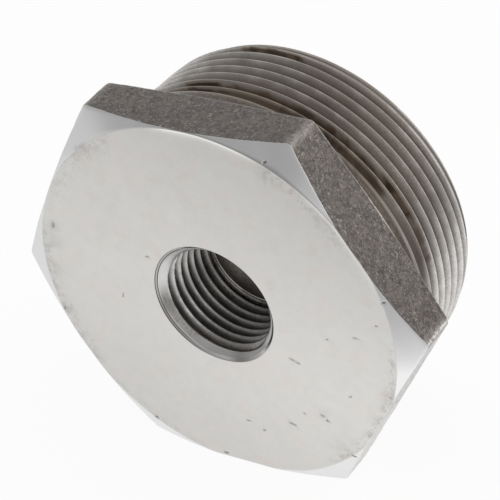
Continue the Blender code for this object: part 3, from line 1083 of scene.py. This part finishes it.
def end_steel():
    """Faced end of the thread: satin and stained, with the rings that the tool left around the axis."""
    s = Shader("end_steel")
    clouds = s.noise(8.0, 4.0)
    inputs = {"Vector": s.place, "Scale": WAVE_SPACING / TOOL_FEED, "Distortion": 1.2, "Detail": 3.0}
    rings = s.add("ShaderNodeTexWave", inputs, wave_type="RINGS", rings_direction="Y").outputs["Fac"]
    tone = s.mix(s.spread(clouds, 0.35, 0.7), (0.70, 0.685, 0.655, 1.0), (0.78, 0.765, 0.735, 1.0))
    tone = s.mix(s.spread(rings, 0.0, 0.6, 0.28, 0.0), tone, (0.50, 0.485, 0.46, 1.0))
    stains = s.spread(s.noise(3.0, 4.0, 0.65), 0.56, 0.74, 0.0, 0.5)
    tone = s.mix(stains, tone, (0.44, 0.41, 0.375, 1.0))
    specks = s.spread(s.noise(0.5, 3.0, 0.6), 0.66, 0.72, 0.0, 0.6)
    s.set(Base_Color=s.mix(specks, tone, (0.22, 0.195, 0.17, 1.0)), Metallic=1.0)
    s.set(Roughness=s.spread(clouds, 0.3, 0.7, 0.32, 0.44), Normal=s.bump(rings, 0.25, 0.02))
    return s.material


def build_bushing():
    """The whole bushing as one piece, with its materials in the order of their slots."""
    bushing = add_object("bushing", mesh_from(build_skin(), "bushing"))
    for make in (faced_steel, turned_steel, forged_steel, thread_steel, bore_steel, end_steel):
        bushing.data.materials.append(make())
    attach(bushing, "root")
    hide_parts(NODE)


# Camera at the photograph's view, in degrees and millimetres
CAMERA_AZIMUTH = 37.59
CAMERA_ELEVATION = 34.21
CAMERA_ROLL = -10.83
CAMERA_DISTANCE = 351.3
CAMERA_AIM = Vector((-1.58, -0.946, 0.303))
CAMERA_LENS = 160.64
CAMERA_SENSOR = 36.0
CAMERA_NEAREST = 10.0


def add_camera():
    azimuth = math.radians(CAMERA_AZIMUTH)
    elevation = math.radians(CAMERA_ELEVATION)
    turn = Matrix.Rotation(azimuth, 3, "Z") @ Matrix.Rotation(math.pi / 2 - elevation, 3, "X")
    turn = turn @ Matrix.Rotation(math.radians(CAMERA_ROLL), 3, "Z")
    lens = bpy.data.cameras.new("camera")
    lens.lens = CAMERA_LENS
    lens.sensor_width = CAMERA_SENSOR
    lens.clip_start = CAMERA_NEAREST * MM
    camera = add_object("camera", lens)
    place = (CAMERA_AIM + turn @ Vector((0.0, 0.0, CAMERA_DISTANCE))) * MM
    camera.matrix_world = Matrix.Translation(place) @ turn.to_4x4()
    bpy.context.scene.camera = camera


# Floor: its size in metres, how pale its paper is, and the share of it that the camera sees as plain white
FLOOR_SIZE = 1.5
FLOOR_PAPER = 0.9
FLOOR_GLOW = 0.93

# Floor as metal mirrors it, in metres: distance to the front and brightness, and one level far to the left
FRONT = Vector((0.36, -0.933, 0.0))
MIRROR_LENGTH = 0.14
MIRROR_STOPS = (
    (0.015, 0.83),
    (0.038, 1.0),
    (0.050, 1.0),
    (0.062, 0.78),
    (0.074, 0.64),
    (0.09, 0.55),
    (0.13, 0.5),
)
MIRROR_LEFT = (-0.15, -0.28)
MIRROR_LEFT_LEVEL = 0.69


def floor_white():
    """White paper that keeps the shadow, and that metal mirrors dimmer the further off it lies."""
    material = bpy.data.materials.new("floor_white")
    material.use_nodes = True
    tree = material.node_tree
    tree.nodes.clear()
    path = add_node(tree, "ShaderNodeLightPath").outputs
    place = add_node(tree, "ShaderNodeTexCoord").outputs["Object"]
    ahead = add_node(tree, "ShaderNodeVectorMath", {0: place, 1: FRONT}, operation="DOT_PRODUCT")
    share = add_math(tree, "DIVIDE", ahead.outputs["Value"], MIRROR_LENGTH)
    ramp = add_node(tree, "ShaderNodeValToRGB", {0: share})
    for _ in MIRROR_STOPS[2:]:
        ramp.color_ramp.elements.new(0.5)
    for stop, (distance, level) in zip(ramp.color_ramp.elements, MIRROR_STOPS):
        stop.position = distance / MIRROR_LENGTH
        stop.color = (level, level, level, 1.0)
    across = add_node(tree, "ShaderNodeSeparateXYZ", {0: place}).outputs[0]
    fade = {"Value": across, "From Min": MIRROR_LEFT[0], "From Max": MIRROR_LEFT[1]}
    far_left = add_node(tree, "ShaderNodeMapRange", fade).outputs[0]
    levels = {0: far_left, 2: ramp.outputs["Color"], 3: MIRROR_LEFT_LEVEL}
    sheen = add_node(tree, "ShaderNodeMix", levels).outputs[0]
    paper = add_node(tree, "ShaderNodeBsdfDiffuse", {"Color": grey(FLOOR_PAPER)}).outputs[0]
    glow = add_node(tree, "ShaderNodeEmission").outputs[0]
    mirrored = add_node(tree, "ShaderNodeEmission", {"Strength": sheen}).outputs[0]
    glowing = add_math(tree, "MULTIPLY", path["Is Camera Ray"], FLOOR_GLOW)
    direct = add_node(tree, "ShaderNodeMixShader", {0: glowing, 1: paper, 2: glow}).outputs[0]
    either = {0: path["Is Glossy Ray"], 1: direct, 2: mirrored}
    surface = add_node(tree, "ShaderNodeMixShader", either).outputs[0]
    add_node(tree, "ShaderNodeOutputMaterial", {"Surface": surface})
    return material


def add_floor():
    """A square of white paper under the part."""
    mesh = bpy.data.meshes.new("floor")
    half = FLOOR_SIZE / 2
    height = part_low.z * MM
    corners = [(-half, -half, height), (half, -half, height), (half, half, height), (-half, half, height)]
    mesh.from_pydata(corners, [], [(0, 1, 2, 3)])
    mesh.materials.append(floor_white())
    floor = add_object("floor", mesh)


# Studio around the part: its brightness, and the side on which it is dimmer
WORLD_BRIGHT = 0.8
WORLD_DARK = 0.40
DARK_SIDE = Vector((-0.45, -0.78, 0.43)).normalized()
DARK_SPAN = (0.66, 0.88)


def add_world():
    """A soft studio, dimmer to the front left, and white where the camera sees it."""
    world = bpy.data.worlds.new("studio")
    bpy.context.scene.world = world
    world.use_nodes = True
    tree = world.node_tree
    place = add_node(tree, "ShaderNodeTexCoord").outputs["Generated"]
    facing = add_node(tree, "ShaderNodeVectorMath", {0: place, 1: DARK_SIDE}, operation="DOT_PRODUCT")
    fade = {"Value": facing.outputs["Value"], "From Min": DARK_SPAN[0], "From Max": DARK_SPAN[1]}
    fade.update({"To Min": WORLD_BRIGHT, "To Max": WORLD_DARK})
    level = add_node(tree, "ShaderNodeMapRange", fade, interpolation_type="SMOOTHSTEP").outputs[0]
    seen = add_node(tree, "ShaderNodeLightPath").outputs["Is Camera Ray"]
    background = tree.nodes["Background"]
    feed(tree, background.inputs["Strength"], add_math(tree, "MAXIMUM", level, seen))
    feed(tree, background.inputs["Color"], grey(1.0))


# Round lamps that point at the part: name, place and diameter in metres, and power in watts
LAMPS = (("key", (-0.25, 0.4, 0.8), 0.9, 0.5), ("fill", (0.7, 0.35, 0.35), 0.9, 2.2))


def add_lamp(name, place, size, power):
    lamp = bpy.data.lights.new(name, "AREA")
    lamp.shape = "DISK"
    lamp.size = size
    lamp.energy = power
    obj = add_object(name, lamp)
    obj.location = place
    obj.rotation_euler = (-Vector(place)).to_track_quat("-Z", "Y").to_euler()


add_camera()
build_bushing()
add_floor()
add_world()
for lamp_values in LAMPS:
    add_lamp(*lamp_values)
bpy.context.scene.view_settings.view_transform = "Standard"
